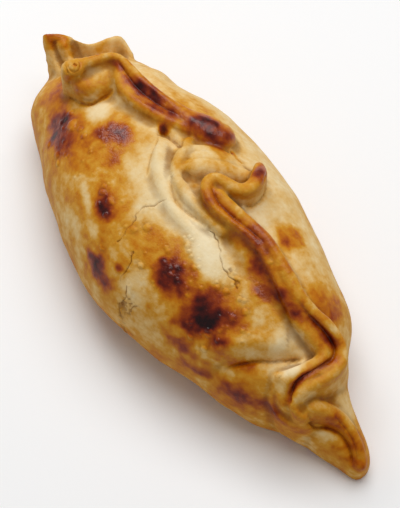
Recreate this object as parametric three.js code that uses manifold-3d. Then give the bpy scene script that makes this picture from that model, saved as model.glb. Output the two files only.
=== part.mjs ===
// A baked empanada: a plump turnover of wheat dough with its pressed seam standing up along the top.
// Millimetres, +Z up. X runs along the length, from the flared tail tab to the pinched tip, and Y across.
// The whole pastry is one solid: a loft over ribs, with each fold of the seam joined on as its own loft.
import * as THREE from "three";
import Module from "manifold-3d";

const wasm = await Module();
wasm.setup();

// ---- Driving sizes -------------------------------------------------------------------------------

const CRUST_COLOUR = 0xd9a860;
const CRUST_ROUGHNESS = 0.55;

// Ribs of the filled body: x, middle y, half width, height of the crown, height of the widest line.
const BODY_RIBS = [
  [-67, 0.5, 7.0, 16.0, 11.5],
  [-62, 0.0, 13.3, 21.0, 12.5],
  [-57, 0.6, 16.6, 25.5, 12.5],
  [-50, 0.9, 19.3, 29.8, 12.5],
  [-38, 0.4, 23.2, 34.5, 14.0],
  [-22, 0.1, 27.1, 37.5, 15.5],
  [-4, -0.1, 28.9, 38.0, 16.0],
  [14, 0.8, 25.7, 36.5, 15.5],
  [30, 2.3, 21.1, 32.5, 14.0],
  [37, 2.7, 18.6, 29.3, 12.5],
  [43, 1.7, 14.5, 25.2, 11.0],
  [48, 2.5, 10.3, 21.0, 9.5],
  [53, 3.1, 7.7, 17.2, 7.8],
  [58, 3.6, 6.3, 13.8, 6.3],
  [63, 4.4, 4.4, 10.4, 4.8],
  [66, 4.5, 3.2, 8.0, 3.8],
  [68, 4.4, 1.8, 5.4, 2.8],
];
const BODY_RINGS = 46;
const BODY_SIDES = 36;
const SIDE_ROUNDNESS = 0.92; // exponent of the section across
const CROWN_ROUNDNESS = 0.95; // exponent of the section above the widest line
const BELLY_ROUNDNESS = 0.75; // exponent below it, fuller than a circle
const BELLY_DROP = 2; // how far the section reaches under the table before the flat base is cut

// Folds of the seam. Each row is a station along the crest:
// x, y and z of the crest's top, radius of its rounded edge, and how far its near and far faces spread
// before they meet the body. Near is the right-hand side going along the crest. The bulge is how far
// the near face swells out.
const FOLDS = [
  {
    // the rolled rim of the pouch at the tail end, with the face that hangs from it
    bulge: 2.4,
    rows: [
      [-52.8, -5.2, 38.6, 2.0, 2.2, 2.6],
      [-51.9, -2.8, 39.0, 1.7, 6.8, 3.0],
      [-50.9, 0.6, 39.3, 1.5, 8.8, 3.0],
      [-50.0, 3.4, 39.7, 1.3, 7.4, 2.8],
      [-48.4, 5.4, 39.8, 1.2, 4.4, 2.6],
      [-46.2, 6.3, 39.4, 1.0, 1.8, 2.6],
    ],
  },
  {
    // the plump bag of dough under that face
    bulge: 0,
    rows: [
      [-51.0, -4.4, 36.4, 2.6, 3.2, 2.6],
      [-48.6, -4.0, 36.6, 3.0, 3.6, 2.8],
      [-46.8, -2.6, 36.8, 3.2, 3.8, 3.0],
      [-46.0, 0.0, 37.0, 3.2, 3.8, 3.0],
      [-45.6, 2.6, 37.2, 2.6, 3.0, 2.6],
    ],
  },
  {
    // the coiled knob at the rim's end
    bulge: 0,
    rows: [
      [-52.4, -5.9, 39.5, 2.4, 2.7, 2.7],
      [-51.7, -4.4, 39.8, 2.4, 2.7, 2.7],
    ],
  },
  {
    // the long ridge that rises from the pouch's corner to the bulb
    bulge: 0.6,
    rows: [
      [-50.2, 2.8, 39.5, 1.2, 1.8, 2.8],
      [-48.4, 5.4, 39.8, 1.2, 1.8, 2.6],
      [-45.4, 6.4, 39.5, 1.1, 1.8, 2.8],
      [-40.1, 7.1, 39.3, 1.1, 2.0, 3.0],
      [-33.9, 8.7, 39.1, 1.2, 2.0, 3.0],
      [-28.6, 10.2, 38.9, 1.7, 2.4, 3.4],
      [-24.6, 11.2, 38.9, 2.9, 4.2, 4.2],
      [-20.4, 12.8, 39.3, 4.2, 6.0, 5.2],
      [-17.4, 14.4, 39.4, 5.0, 6.8, 5.6],
      [-16.0, 15.4, 38.9, 4.6, 6.2, 5.2],
    ],
  },
  {
    // the second layer of dough along the ridge's near side
    bulge: 0.8,
    rows: [
      [-47.4, 5.0, 38.4, 1.2, 2.4, 2.0],
      [-45.0, 3.9, 38.1, 1.6, 2.6, 2.6],
      [-42.0, 3.2, 38.1, 1.8, 2.7, 3.0],
      [-38.0, 2.9, 38.3, 1.8, 2.7, 3.2],
      [-34.2, 3.6, 38.5, 1.8, 2.7, 3.2],
      [-30.6, 4.9, 38.7, 1.8, 2.7, 3.2],
      [-27.4, 6.4, 38.7, 1.9, 2.9, 3.4],
      [-23.8, 8.6, 38.6, 2.0, 3.0, 3.2],
      [-20.4, 10.8, 38.3, 2.0, 3.0, 3.0],
    ],
  },
  {
    // the dough between the ridge's two layers
    bulge: 0,
    rows: [
      [-47.0, 5.3, 39.0, 1.1, 1.6, 1.6],
      [-43.0, 5.2, 38.4, 1.2, 1.6, 1.6],
      [-38.0, 5.1, 38.3, 1.2, 1.6, 1.6],
      [-33.6, 6.2, 38.4, 1.2, 1.6, 1.6],
      [-29.2, 7.6, 38.4, 1.2, 1.6, 1.6],
      [-25.0, 9.6, 38.4, 1.2, 1.6, 1.6],
    ],
  },
  {
    // the soft roll under the bulb
    bulge: 0.6,
    rows: [
      [-16.6, 5.2, 38.2, 2.0, 2.6, 2.8],
      [-14.8, 6.6, 39.2, 2.8, 3.6, 4.0],
      [-13.0, 8.2, 39.5, 3.3, 4.2, 5.0],
      [-11.4, 10.0, 39.4, 3.3, 4.2, 5.0],
      [-9.8, 12.0, 38.8, 3.1, 4.0, 5.0],
      [-8.2, 13.8, 37.8, 2.6, 3.6, 4.4],
    ],
  },
  {
    // the dough that joins it to the next roll
    bulge: 0,
    rows: [
      [-13.2, 3.8, 39.6, 2.2, 2.6, 2.8],
      [-12.2, 5.2, 40.3, 2.8, 3.2, 3.6],
      [-11.0, 7.2, 40.5, 3.0, 3.4, 4.0],
      [-9.4, 9.6, 40.2, 3.0, 3.4, 4.0],
      [-7.8, 11.8, 39.4, 2.8, 3.2, 3.6],
      [-5.8, 14.0, 37.8, 2.3, 2.8, 3.2],
    ],
  },
  {
    // the plump roll inside the curled lip
    bulge: 0.3,
    rows: [
      [-11.0, 2.2, 40.4, 2.4, 2.8, 2.8],
      [-10.4, 3.6, 41.0, 2.9, 3.3, 3.3],
      [-9.2, 6.0, 41.1, 2.9, 3.4, 3.4],
      [-7.3, 8.6, 40.8, 2.9, 3.5, 3.5],
      [-5.0, 11.6, 39.8, 2.7, 3.3, 3.3],
      [-3.0, 14.2, 38.0, 2.2, 2.8, 2.8],
    ],
  },
  {
    // the curled lip that wraps round it
    bulge: 0,
    rows: [
      [-17.6, 7.6, 38.9, 1.5, 2.2, 2.0],
      [-16.2, 5.4, 39.7, 1.8, 2.4, 2.0],
      [-13.9, 2.7, 40.2, 1.9, 2.6, 2.0],
      [-11.2, 0.5, 40.4, 2.0, 2.6, 2.0],
      [-7.9, -0.9, 40.5, 2.0, 2.7, 2.0],
      [-3.8, -1.2, 40.4, 2.1, 2.8, 2.2],
      [0.4, -0.4, 40.3, 2.1, 3.0, 2.6],
      [4.4, 0.4, 40.2, 2.0, 3.0, 3.0],
      [8.4, 1.2, 39.8, 1.8, 3.0, 3.0],
    ],
  },
  {
    // the dough at the bottom of the lip
    bulge: 0,
    rows: [
      [-8.0, 1.6, 38.6, 2.4, 3.0, 3.0],
      [-4.8, 1.5, 39.1, 3.0, 3.6, 3.6],
      [-1.0, 1.6, 39.6, 3.2, 3.8, 3.8],
    ],
  },
  {
    // the hooked end of the seam, from its curled tip through the turn
    bulge: 0,
    rows: [
      [-1.6, 18.2, 39.6, 1.6, 1.4, 1.6],
      [0.6, 16.8, 41.2, 2.1, 1.6, 1.8],
      [2.6, 14.4, 42.0, 2.1, 1.4, 1.8],
      [3.4, 11.4, 42.6, 1.9, 1.2, 1.8],
      [2.4, 9.1, 43.2, 1.7, 1.2, 1.8],
      [0.1, 7.7, 43.6, 1.7, 1.4, 1.8],
      [-2.0, 6.3, 44.0, 1.7, 1.6, 1.8],
      [-2.7, 4.6, 44.0, 1.7, 1.8, 1.8],
      [-1.6, 3.0, 44.0, 1.7, 1.9, 1.6],
      [0.4, 2.0, 43.8, 1.4, 2.2, 1.4],
      [3.0, 1.9, 43.3, 1.1, 2.6, 1.4],
    ],
  },
  {
    // the near layer of the seam with its broad flank, through the S-bend
    bulge: -0.4,
    rows: [
      [-1.4, 2.6, 43.4, 1.2, 2.4, 1.4],
      [0.8, 1.6, 43.6, 1.1, 2.6, 1.4],
      [4.3, 1.7, 43.0, 1.0, 2.6, 1.4],
      [8.6, 2.9, 42.3, 1.0, 3.4, 1.4],
      [11.8, 4.2, 41.7, 1.0, 5.4, 1.6],
      [15.5, 5.4, 40.8, 1.2, 8.0, 2.0],
      [22.0, 6.3, 38.8, 1.5, 9.8, 2.5],
      [31.0, 5.8, 35.6, 1.8, 7.0, 2.5],
      [36.8, 5.6, 32.8, 2.0, 5.0, 2.5],
      [41.4, 6.6, 30.3, 2.0, 3.6, 2.4],
      [44.6, 7.0, 28.7, 2.0, 3.2, 2.4],
      [46.3, 5.4, 27.9, 2.0, 3.2, 2.4],
      [46.5, 2.2, 27.3, 2.1, 3.4, 2.4],
      [46.0, -1.4, 26.6, 2.4, 3.8, 2.6],
      [46.6, -4.2, 25.1, 2.6, 3.4, 2.8],
      [47.9, -5.6, 22.6, 2.4, 2.4, 2.8],
      [49.4, -5.3, 20.0, 2.0, 1.6, 2.6],
      [50.6, -4.0, 17.6, 1.5, 1.3, 2.2],
    ],
  },
  {
    // the far layer, a rope that follows it
    bulge: 0,
    rows: [
      [-1.2, 4.4, 42.2, 1.2, 1.6, 1.8],
      [0.8, 4.4, 43.2, 1.5, 1.8, 2.0],
      [4.0, 4.8, 42.8, 1.6, 1.8, 2.2],
      [8.0, 5.8, 42.1, 1.6, 1.8, 2.4],
      [13.0, 7.3, 41.3, 1.6, 1.8, 2.4],
      [19.0, 8.2, 40.4, 1.6, 1.8, 2.6],
      [26.0, 8.0, 38.4, 1.6, 1.8, 2.8],
      [32.4, 7.7, 36.2, 1.7, 1.8, 2.8],
      [37.0, 8.9, 33.8, 1.7, 1.8, 2.8],
      [41.2, 10.9, 31.2, 1.75, 2.0, 2.6],
      [45.2, 11.7, 28.4, 1.75, 2.0, 2.2],
      [48.1, 10.2, 27.0, 1.75, 2.0, 2.2],
      [49.5, 7.4, 26.4, 1.75, 2.0, 2.2],
      [49.9, 3.6, 26.1, 1.75, 2.0, 2.2],
      [49.5, -0.6, 25.6, 1.75, 2.0, 2.1],
      [50.0, -3.6, 24.3, 1.75, 2.0, 2.0],
      [51.4, -5.0, 22.2, 1.7, 1.8, 2.0],
      [53.2, -4.2, 19.8, 1.5, 1.6, 1.8],
    ],
  },
  {
    // the dough between the two layers
    bulge: 0,
    rows: [
      [0.4, 3.0, 42.4, 1.0, 1.4, 1.4],
      [5.0, 3.3, 41.9, 1.0, 1.4, 1.4],
      [9.0, 4.5, 41.0, 1.0, 1.4, 1.4],
      [13.0, 5.9, 40.4, 1.1, 1.5, 1.5],
      [19.0, 7.2, 39.3, 1.2, 1.6, 1.6],
      [26.0, 7.0, 37.0, 1.2, 1.6, 1.6],
      [32.4, 6.6, 34.8, 1.2, 1.6, 1.6],
      [37.0, 7.4, 32.3, 1.2, 1.6, 1.6],
      [41.4, 8.9, 29.8, 1.4, 1.8, 1.8],
      [45.2, 9.6, 27.4, 1.5, 1.9, 1.9],
      [47.2, 8.2, 26.4, 1.5, 1.9, 1.9],
      [48.0, 5.4, 25.8, 1.4, 1.8, 1.8],
      [47.9, 2.0, 25.4, 1.4, 1.8, 1.8],
      [47.8, -2.0, 24.6, 1.4, 1.8, 1.8],
      [48.6, -4.4, 22.6, 1.3, 1.6, 1.8],
      [50.0, -4.6, 20.0, 1.1, 1.3, 1.6],
    ],
  },
  {
    // the last stretch of the seam, down to the tip
    bulge: 0,
    rows: [
      [50.8, -3.8, 20.2, 1.7, 1.4, 2.0],
      [52.0, -2.2, 20.8, 2.1, 1.4, 2.4],
      [53.4, -0.2, 20.6, 2.3, 1.4, 2.8],
      [55.4, 2.3, 18.8, 2.2, 1.4, 3.0],
      [58.4, 4.5, 15.6, 2.0, 1.4, 3.0],
      [61.9, 5.0, 12.9, 1.9, 1.4, 2.6],
      [64.9, 4.7, 10.4, 1.8, 1.3, 2.0],
      [66.9, 4.1, 7.9, 1.5, 1.2, 1.6],
    ],
  },
  {
    // the hem that wraps under the S-bend
    bulge: 0,
    rows: [
      [44.4, -4.8, 25.4, 1.8, 1.8, 1.8],
      [45.4, -6.2, 23.2, 2.1, 1.8, 1.8],
      [46.5, -7.0, 20.4, 2.2, 1.6, 1.8],
      [48.0, -7.2, 18.0, 2.2, 1.4, 1.8],
      [50.0, -6.4, 16.6, 2.1, 1.2, 1.8],
      [52.2, -5.0, 16.2, 1.9, 1.0, 1.6],
      [54.2, -3.2, 15.6, 1.5, 1.0, 1.4],
    ],
  },
  {
    // the soft band that curves round the lip on the near side
    bulge: 0,
    rows: [
      [-22.6, 3.8, 36.6, 1.2, 2.0, 2.0],
      [-20.8, 2.0, 38.3, 2.2, 3.0, 4.0],
      [-17.4, -0.8, 39.0, 2.5, 3.4, 4.8],
      [-12.8, -3.4, 39.1, 2.6, 3.6, 4.8],
      [-8.4, -4.6, 39.0, 2.6, 3.8, 4.8],
      [-3.6, -5.4, 38.8, 2.6, 3.8, 4.8],
      [1.2, -5.2, 38.4, 2.4, 3.6, 3.4],
      [6.4, -4.4, 37.3, 2.0, 3.4, 3.2],
      [10.0, -3.8, 35.8, 1.6, 3.0, 3.0],
    ],
  },
];
const FOLD_STEP = 2.3; // length of crest between two sections
const FEWEST_SECTIONS = 4;
const EDGE_STEPS = 6; // facets round the edge of a fold
const FACE_STEPS = 2; // facets down each face of a fold
const FACE_SINK = 1.2; // how far a face's foot goes into the body
const KEEL_DROP = 4; // how far the hidden underside of a fold goes into the body
const EDGE_HANG = 0.35; // radians that the rounded edge turns past the vertical
const END_ANGLES = [35, 70].map(THREE.MathUtils.degToRad); // turns of the sections that round off an end

// The flared tab at the tail. Each row is a station along its rim:
// x, y and z of the rim, and x, y and z of the root inside the body.
const TAB_ROWS = [
  [-66.2, -5.0, 14.5, -57.0, -6.0, 13.0],
  [-68.9, -4.1, 17.5, -57.0, -5.5, 14.0],
  [-71.3, -3.5, 21.0, -57.0, -4.5, 15.0],
  [-72.3, -2.4, 23.4, -57.0, -3.0, 15.5],
  [-70.8, -0.3, 23.9, -57.0, -1.0, 16.0],
  [-69.6, 1.6, 23.6, -57.0, 1.0, 16.0],
  [-67.8, 3.5, 23.2, -56.5, 3.0, 16.0],
  [-65.4, 4.9, 22.8, -56.0, 5.0, 16.0],
  [-63.5, 6.4, 22.8, -55.5, 6.5, 16.0],
  [-62.5, 9.0, 23.2, -55.0, 8.0, 16.0],
  [-61.9, 11.8, 23.6, -54.5, 9.5, 15.5],
  [-60.9, 13.9, 23.4, -54.0, 10.5, 15.0],
  [-58.6, 14.4, 22.2, -52.5, 11.0, 15.0],
  [-55.4, 14.2, 20.8, -50.5, 11.0, 15.0],
];
const TAB_RINGS = 26;
const TAB_RIM_RADIUS = 1.8;
const TAB_ROOT_HEIGHT = 7; // half of it above the root's line and all of it below
const TAB_WAIST_PLACE = 0.35; // where the tab is thinnest, as a share of the way from rim to root
const TAB_WAIST_RISE = 0.36; // height of the tab's upper side there

// The cutter that trims the flat base lies under the table and reaches past the pastry.
const CUTTER_LENGTH = 200;
const CUTTER_WIDTH = 100;
const CUTTER_DEPTH = 20;

// ---- Curves and lofts ----------------------------------------------------------------------------

// One value of a Catmull-Rom spline through b and c, at the fraction w between them.
function splineValue(a, b, c, d, w) {
  const startSlope = (c - a) / 2;
  const endSlope = (d - b) / 2;
  const cubic = 2 * b - 2 * c + startSlope + endSlope;
  const square = -3 * b + 3 * c - 2 * startSlope - endSlope;
  return ((cubic * w + square) * w + startSlope) * w + b;
}

// Rows of numbers drawn through the given rows, column by column, as many as count.
function smoothRows(rows, count) {
  const last = rows.length - 1;
  return Array.from({ length: count }, (_, step) => {
    const t = (step / (count - 1)) * last;
    const i = Math.min(Math.floor(t), last - 1);
    const before = rows[Math.max(i - 1, 0)];
    const after = rows[Math.min(i + 2, last)];
    return rows[i].map((value, k) => splineValue(before[k], value, rows[i + 1][k], after[k], t - i));
  });
}

// A solid through rings of points, each ring with as many points, closed by a fan at both ends.
function loft(rings) {
  const sides = rings[0].length;
  const middle = (ring) => {
    const sum = ring.reduce((total, point) => total.add(point), new THREE.Vector3());
    return sum.divideScalar(sides);
  };
  const points = rings.flat();
  const faces = [];
  for (let ring = 0; ring < rings.length - 1; ring++) {
    for (let side = 0; side < sides; side++) {
      const next = (side + 1) % sides;
      const a = ring * sides + side;
      const b = ring * sides + next;
      const c = a + sides;
      const d = b + sides;
      faces.push([a, b, d], [a, d, c]);
    }
  }
  const first = points.push(middle(rings[0])) - 1;
  const final = points.push(middle(rings.at(-1))) - 1;
  const lastRing = (rings.length - 1) * sides;
  for (let side = 0; side < sides; side++) {
    const next = (side + 1) % sides;
    faces.push([first, next, side], [final, lastRing + side, lastRing + next]);
  }
  return solidFrom(points, faces);
}

// A manifold solid from points and triangles, turned right way out.
function solidFrom(points, faces) {
  const volume = faces.reduce((sum, [a, b, c]) => {
    return sum + points[a].dot(new THREE.Vector3().crossVectors(points[b], points[c]));
  }, 0);
  const outward = volume > 0 ? faces : faces.map(([a, b, c]) => [a, c, b]);
  const mesh = new wasm.Mesh({
    numProp: 3,
    vertProperties: new Float32Array(points.flatMap((point) => point.toArray())),
    triVerts: new Uint32Array(outward.flat()),
  });
  return new wasm.Manifold(mesh);
}

// ---- The filled body -----------------------------------------------------------------------------

const signedPower = (value, power) => Math.sign(value) * Math.abs(value) ** power;

function bodyRing([x, y, halfWidth, crown, belly]) {
  return Array.from({ length: BODY_SIDES }, (_, side) => {
    const angle = (side / BODY_SIDES) * Math.PI * 2;
    const rise = Math.sin(angle);
    const upper = belly + (crown - belly) * signedPower(rise, CROWN_ROUNDNESS);
    const lower = belly + (belly + BELLY_DROP) * signedPower(rise, BELLY_ROUNDNESS);
    const across = halfWidth * signedPower(Math.cos(angle), SIDE_ROUNDNESS);
    return new THREE.Vector3(x, y + across, rise >= 0 ? upper : lower);
  });
}

const bodyRibs = smoothRows(BODY_RIBS, BODY_RINGS);

// The rib at any x, between the two nearest drawn ribs.
function ribAt(x) {
  const after = bodyRibs.findIndex((rib) => rib[0] > x);
  if (after === 0) return bodyRibs[0];
  if (after < 0) return bodyRibs.at(-1);
  const low = bodyRibs[after - 1];
  const high = bodyRibs[after];
  const w = (x - low[0]) / (high[0] - low[0]);
  return low.map((value, k) => value + (high[k] - value) * w);
}

// Height of the body's upper surface over a point of the table.
function crownHeight(x, y) {
  const [, middle, halfWidth, crown, belly] = ribAt(x);
  const across = Math.min(1, Math.abs(y - middle) / halfWidth) ** (1 / SIDE_ROUNDNESS);
  return belly + (crown - belly) * Math.sqrt(1 - across * across) ** CROWN_ROUNDNESS;
}

// ---- The folds of the seam -----------------------------------------------------------------------

// Section points from a fold's foot up to its rounded edge, without the last one.
function foldFace(foot, top, swell) {
  const run = top[0] - foot[0];
  const rise = top[1] - foot[1];
  const length = Math.hypot(run, rise);
  return Array.from({ length: FACE_STEPS }, (_, step) => {
    const t = step / FACE_STEPS;
    const out = (swell * Math.sin(Math.PI * t)) / length;
    const across = foot[0] + run * t + Math.abs(rise) * out * Math.sign(foot[0]);
    return [across, foot[1] + rise * t + Math.abs(run) * out];
  });
}

// A fold's section: near foot, near face, rounded edge, far face, far foot, and the hidden keel.
function foldRing([x, y, z, radius, near, far], [alongX, alongY], bulge) {
  const place = (across) => [x + alongY * across, y - alongX * across];
  const foot = (across) => [across, crownHeight(...place(across)) - FACE_SINK];
  const centre = z - radius;
  const edge = [];
  for (let step = 0; step <= EDGE_STEPS; step++) {
    const angle = -EDGE_HANG + (step / EDGE_STEPS) * (Math.PI + 2 * EDGE_HANG);
    edge.push([radius * Math.cos(angle), centre + radius * Math.sin(angle)]);
  }
  const nearFoot = foot(near);
  const farFoot = foot(-far);
  const keel = [0, Math.min(nearFoot[1], farFoot[1], centre) - KEEL_DROP];
  const outline = [
    ...foldFace(nearFoot, edge[0], bulge),
    ...edge,
    ...foldFace(farFoot, edge.at(-1), 0).reverse(),
    keel,
  ];
  return outline.map(([across, height]) => new THREE.Vector3(...place(across), height));
}

// Shrinking copies of a fold's last station, which round off its end. Outward is +1 or -1 along it.
function roundEnd([x, y, z, radius, near, far], [alongX, alongY], outward) {
  return END_ANGLES.map((angle) => {
    const reach = outward * radius * Math.sin(angle);
    const size = Math.cos(angle);
    const top = z - radius * (1 - size);
    return [x + alongX * reach, y + alongY * reach, top, radius * size, near * size, far * size];
  });
}

function crestLength(rows) {
  const points = rows.map(([x, y, z]) => new THREE.Vector3(x, y, z));
  return points.slice(1).reduce((sum, point, i) => sum + point.distanceTo(points[i]), 0);
}

function fold({ rows, bulge }) {
  const count = Math.max(FEWEST_SECTIONS, Math.round(crestLength(rows) / FOLD_STEP));
  const stations = smoothRows(rows, count);
  const directions = stations.map((_, i) => {
    const before = stations[Math.max(i - 1, 0)];
    const after = stations[Math.min(i + 1, count - 1)];
    const length = Math.hypot(after[0] - before[0], after[1] - before[1]);
    return [(after[0] - before[0]) / length, (after[1] - before[1]) / length];
  });
  const ringsAt = (copies, along) => copies.map((station) => foldRing(station, along, bulge));
  const start = roundEnd(stations[0], directions[0], -1).reverse();
  const end = roundEnd(stations.at(-1), directions.at(-1), 1);
  return loft([
    ...ringsAt(start, directions[0]),
    ...stations.map((station, i) => foldRing(station, directions[i], bulge)),
    ...ringsAt(end, directions.at(-1)),
  ]);
}

// ---- The tail tab --------------------------------------------------------------------------------

function tabRing([rimX, rimY, rimZ, rootX, rootY, rootZ]) {
  const rim = new THREE.Vector3(rimX, rimY, rimZ);
  const root = new THREE.Vector3(rootX, rootY, rootZ);
  const outward = rim.clone().sub(root).normalize();
  const up = new THREE.Vector3(0, 0, 1);
  const ring = [];
  for (let step = 0; step <= EDGE_STEPS; step++) {
    const angle = -Math.PI / 2 + (step / EDGE_STEPS) * Math.PI;
    const point = rim.clone().addScaledVector(outward, TAB_RIM_RADIUS * Math.cos(angle));
    ring.push(point.addScaledVector(up, TAB_RIM_RADIUS * Math.sin(angle)));
  }
  const waist = rim.clone().lerp(root, TAB_WAIST_PLACE);
  ring.push(waist.addScaledVector(up, TAB_WAIST_RISE));
  ring.push(root.clone().addScaledVector(up, TAB_ROOT_HEIGHT / 2));
  ring.push(root.clone().addScaledVector(up, -TAB_ROOT_HEIGHT));
  return ring;
}

// ---- The pastry ----------------------------------------------------------------------------------

function baseCutter() {
  const rectangle = (x) => [
    new THREE.Vector3(x, -CUTTER_WIDTH / 2, -CUTTER_DEPTH),
    new THREE.Vector3(x, CUTTER_WIDTH / 2, -CUTTER_DEPTH),
    new THREE.Vector3(x, CUTTER_WIDTH / 2, 0),
    new THREE.Vector3(x, -CUTTER_WIDTH / 2, 0),
  ];
  return loft([rectangle(-CUTTER_LENGTH / 2), rectangle(CUTTER_LENGTH / 2)]);
}

function pastrySolid() {
  let solid = loft(bodyRibs.map(bodyRing));
  for (const shape of FOLDS) {
    solid = solid.add(fold(shape));
  }
  solid = solid.add(loft(smoothRows(TAB_ROWS, TAB_RINGS).map(tabRing)));
  return solid.subtract(baseCutter());
}

function geometryOf(solid) {
  const { numProp, vertProperties, triVerts } = solid.getMesh();
  const geometry = new THREE.BufferGeometry();
  const positions = new Float32Array((vertProperties.length / numProp) * 3);
  for (let vertex = 0; vertex < positions.length / 3; vertex++) {
    positions.set(vertProperties.subarray(vertex * numProp, vertex * numProp + 3), vertex * 3);
  }
  geometry.setAttribute("position", new THREE.BufferAttribute(positions, 3));
  geometry.setIndex(new THREE.BufferAttribute(triVerts, 1));
  geometry.computeVertexNormals();
  return geometry;
}

const crust = new THREE.MeshStandardMaterial({
  color: CRUST_COLOUR,
  roughness: CRUST_ROUGHNESS,
  metalness: 0,
});
const pastry = new THREE.Mesh(geometryOf(pastrySolid()), crust);
pastry.name = "pastry";

// The origin is under the middle of the pastry's box.
const box = new THREE.Box3().setFromObject(pastry);
const middle = box.getCenter(new THREE.Vector3());
pastry.position.set(-middle.x, -middle.y, -box.min.z);

const empanada = new THREE.Group();
empanada.add(pastry);

export default empanada;
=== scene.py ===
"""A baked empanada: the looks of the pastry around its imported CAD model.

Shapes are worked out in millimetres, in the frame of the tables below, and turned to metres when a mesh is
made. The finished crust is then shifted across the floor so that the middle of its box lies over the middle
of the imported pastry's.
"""

import math
import random

import bmesh
import bpy
import numpy as np
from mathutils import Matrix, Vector, noise


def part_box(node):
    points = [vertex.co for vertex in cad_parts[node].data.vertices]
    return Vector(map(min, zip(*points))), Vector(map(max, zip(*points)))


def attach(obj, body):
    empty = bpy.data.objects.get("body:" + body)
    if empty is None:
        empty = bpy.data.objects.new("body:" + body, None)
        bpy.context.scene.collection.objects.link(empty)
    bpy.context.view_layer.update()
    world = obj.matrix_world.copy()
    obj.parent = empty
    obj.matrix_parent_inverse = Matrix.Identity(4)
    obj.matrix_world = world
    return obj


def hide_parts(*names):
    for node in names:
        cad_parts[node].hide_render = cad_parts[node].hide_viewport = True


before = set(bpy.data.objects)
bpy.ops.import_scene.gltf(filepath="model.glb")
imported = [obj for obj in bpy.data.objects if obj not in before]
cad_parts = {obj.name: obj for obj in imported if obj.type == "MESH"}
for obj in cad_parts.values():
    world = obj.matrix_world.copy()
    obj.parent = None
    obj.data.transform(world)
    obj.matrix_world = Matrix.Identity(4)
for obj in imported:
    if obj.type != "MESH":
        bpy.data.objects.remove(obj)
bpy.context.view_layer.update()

MM = 0.001

# ---- The body and the folds of its seam, as in the CAD ---------------------------------------------

# x, middle y, half width, height of the crown, height of the widest line
BODY_RIBS = [
    (-67, 0.5, 7.0, 16.0, 11.5),
    (-62, 0.0, 13.3, 21.0, 12.5),
    (-57, 0.6, 16.6, 25.5, 12.5),
    (-50, 0.9, 19.3, 29.8, 12.5),
    (-38, 0.4, 23.2, 34.5, 14.0),
    (-22, 0.1, 27.1, 37.5, 15.5),
    (-4, -0.1, 28.9, 38.0, 16.0),
    (14, 0.8, 25.7, 36.5, 15.5),
    (30, 2.3, 21.1, 32.5, 14.0),
    (37, 2.7, 18.6, 29.3, 12.5),
    (43, 1.7, 14.5, 25.2, 11.0),
    (48, 2.5, 10.3, 21.0, 9.5),
    (53, 3.1, 7.7, 17.2, 7.8),
    (58, 3.6, 6.3, 13.8, 6.3),
    (63, 4.4, 4.4, 10.4, 4.8),
    (66, 4.5, 3.2, 8.0, 3.8),
    (68, 4.4, 1.8, 5.4, 2.8),
]
BODY_RINGS = 150
BODY_SIDES = 90
SIDE_ROUNDNESS = 0.92
CROWN_ROUNDNESS = 0.95
BELLY_ROUNDNESS = 0.75
BELLY_DROP = 2

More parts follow.
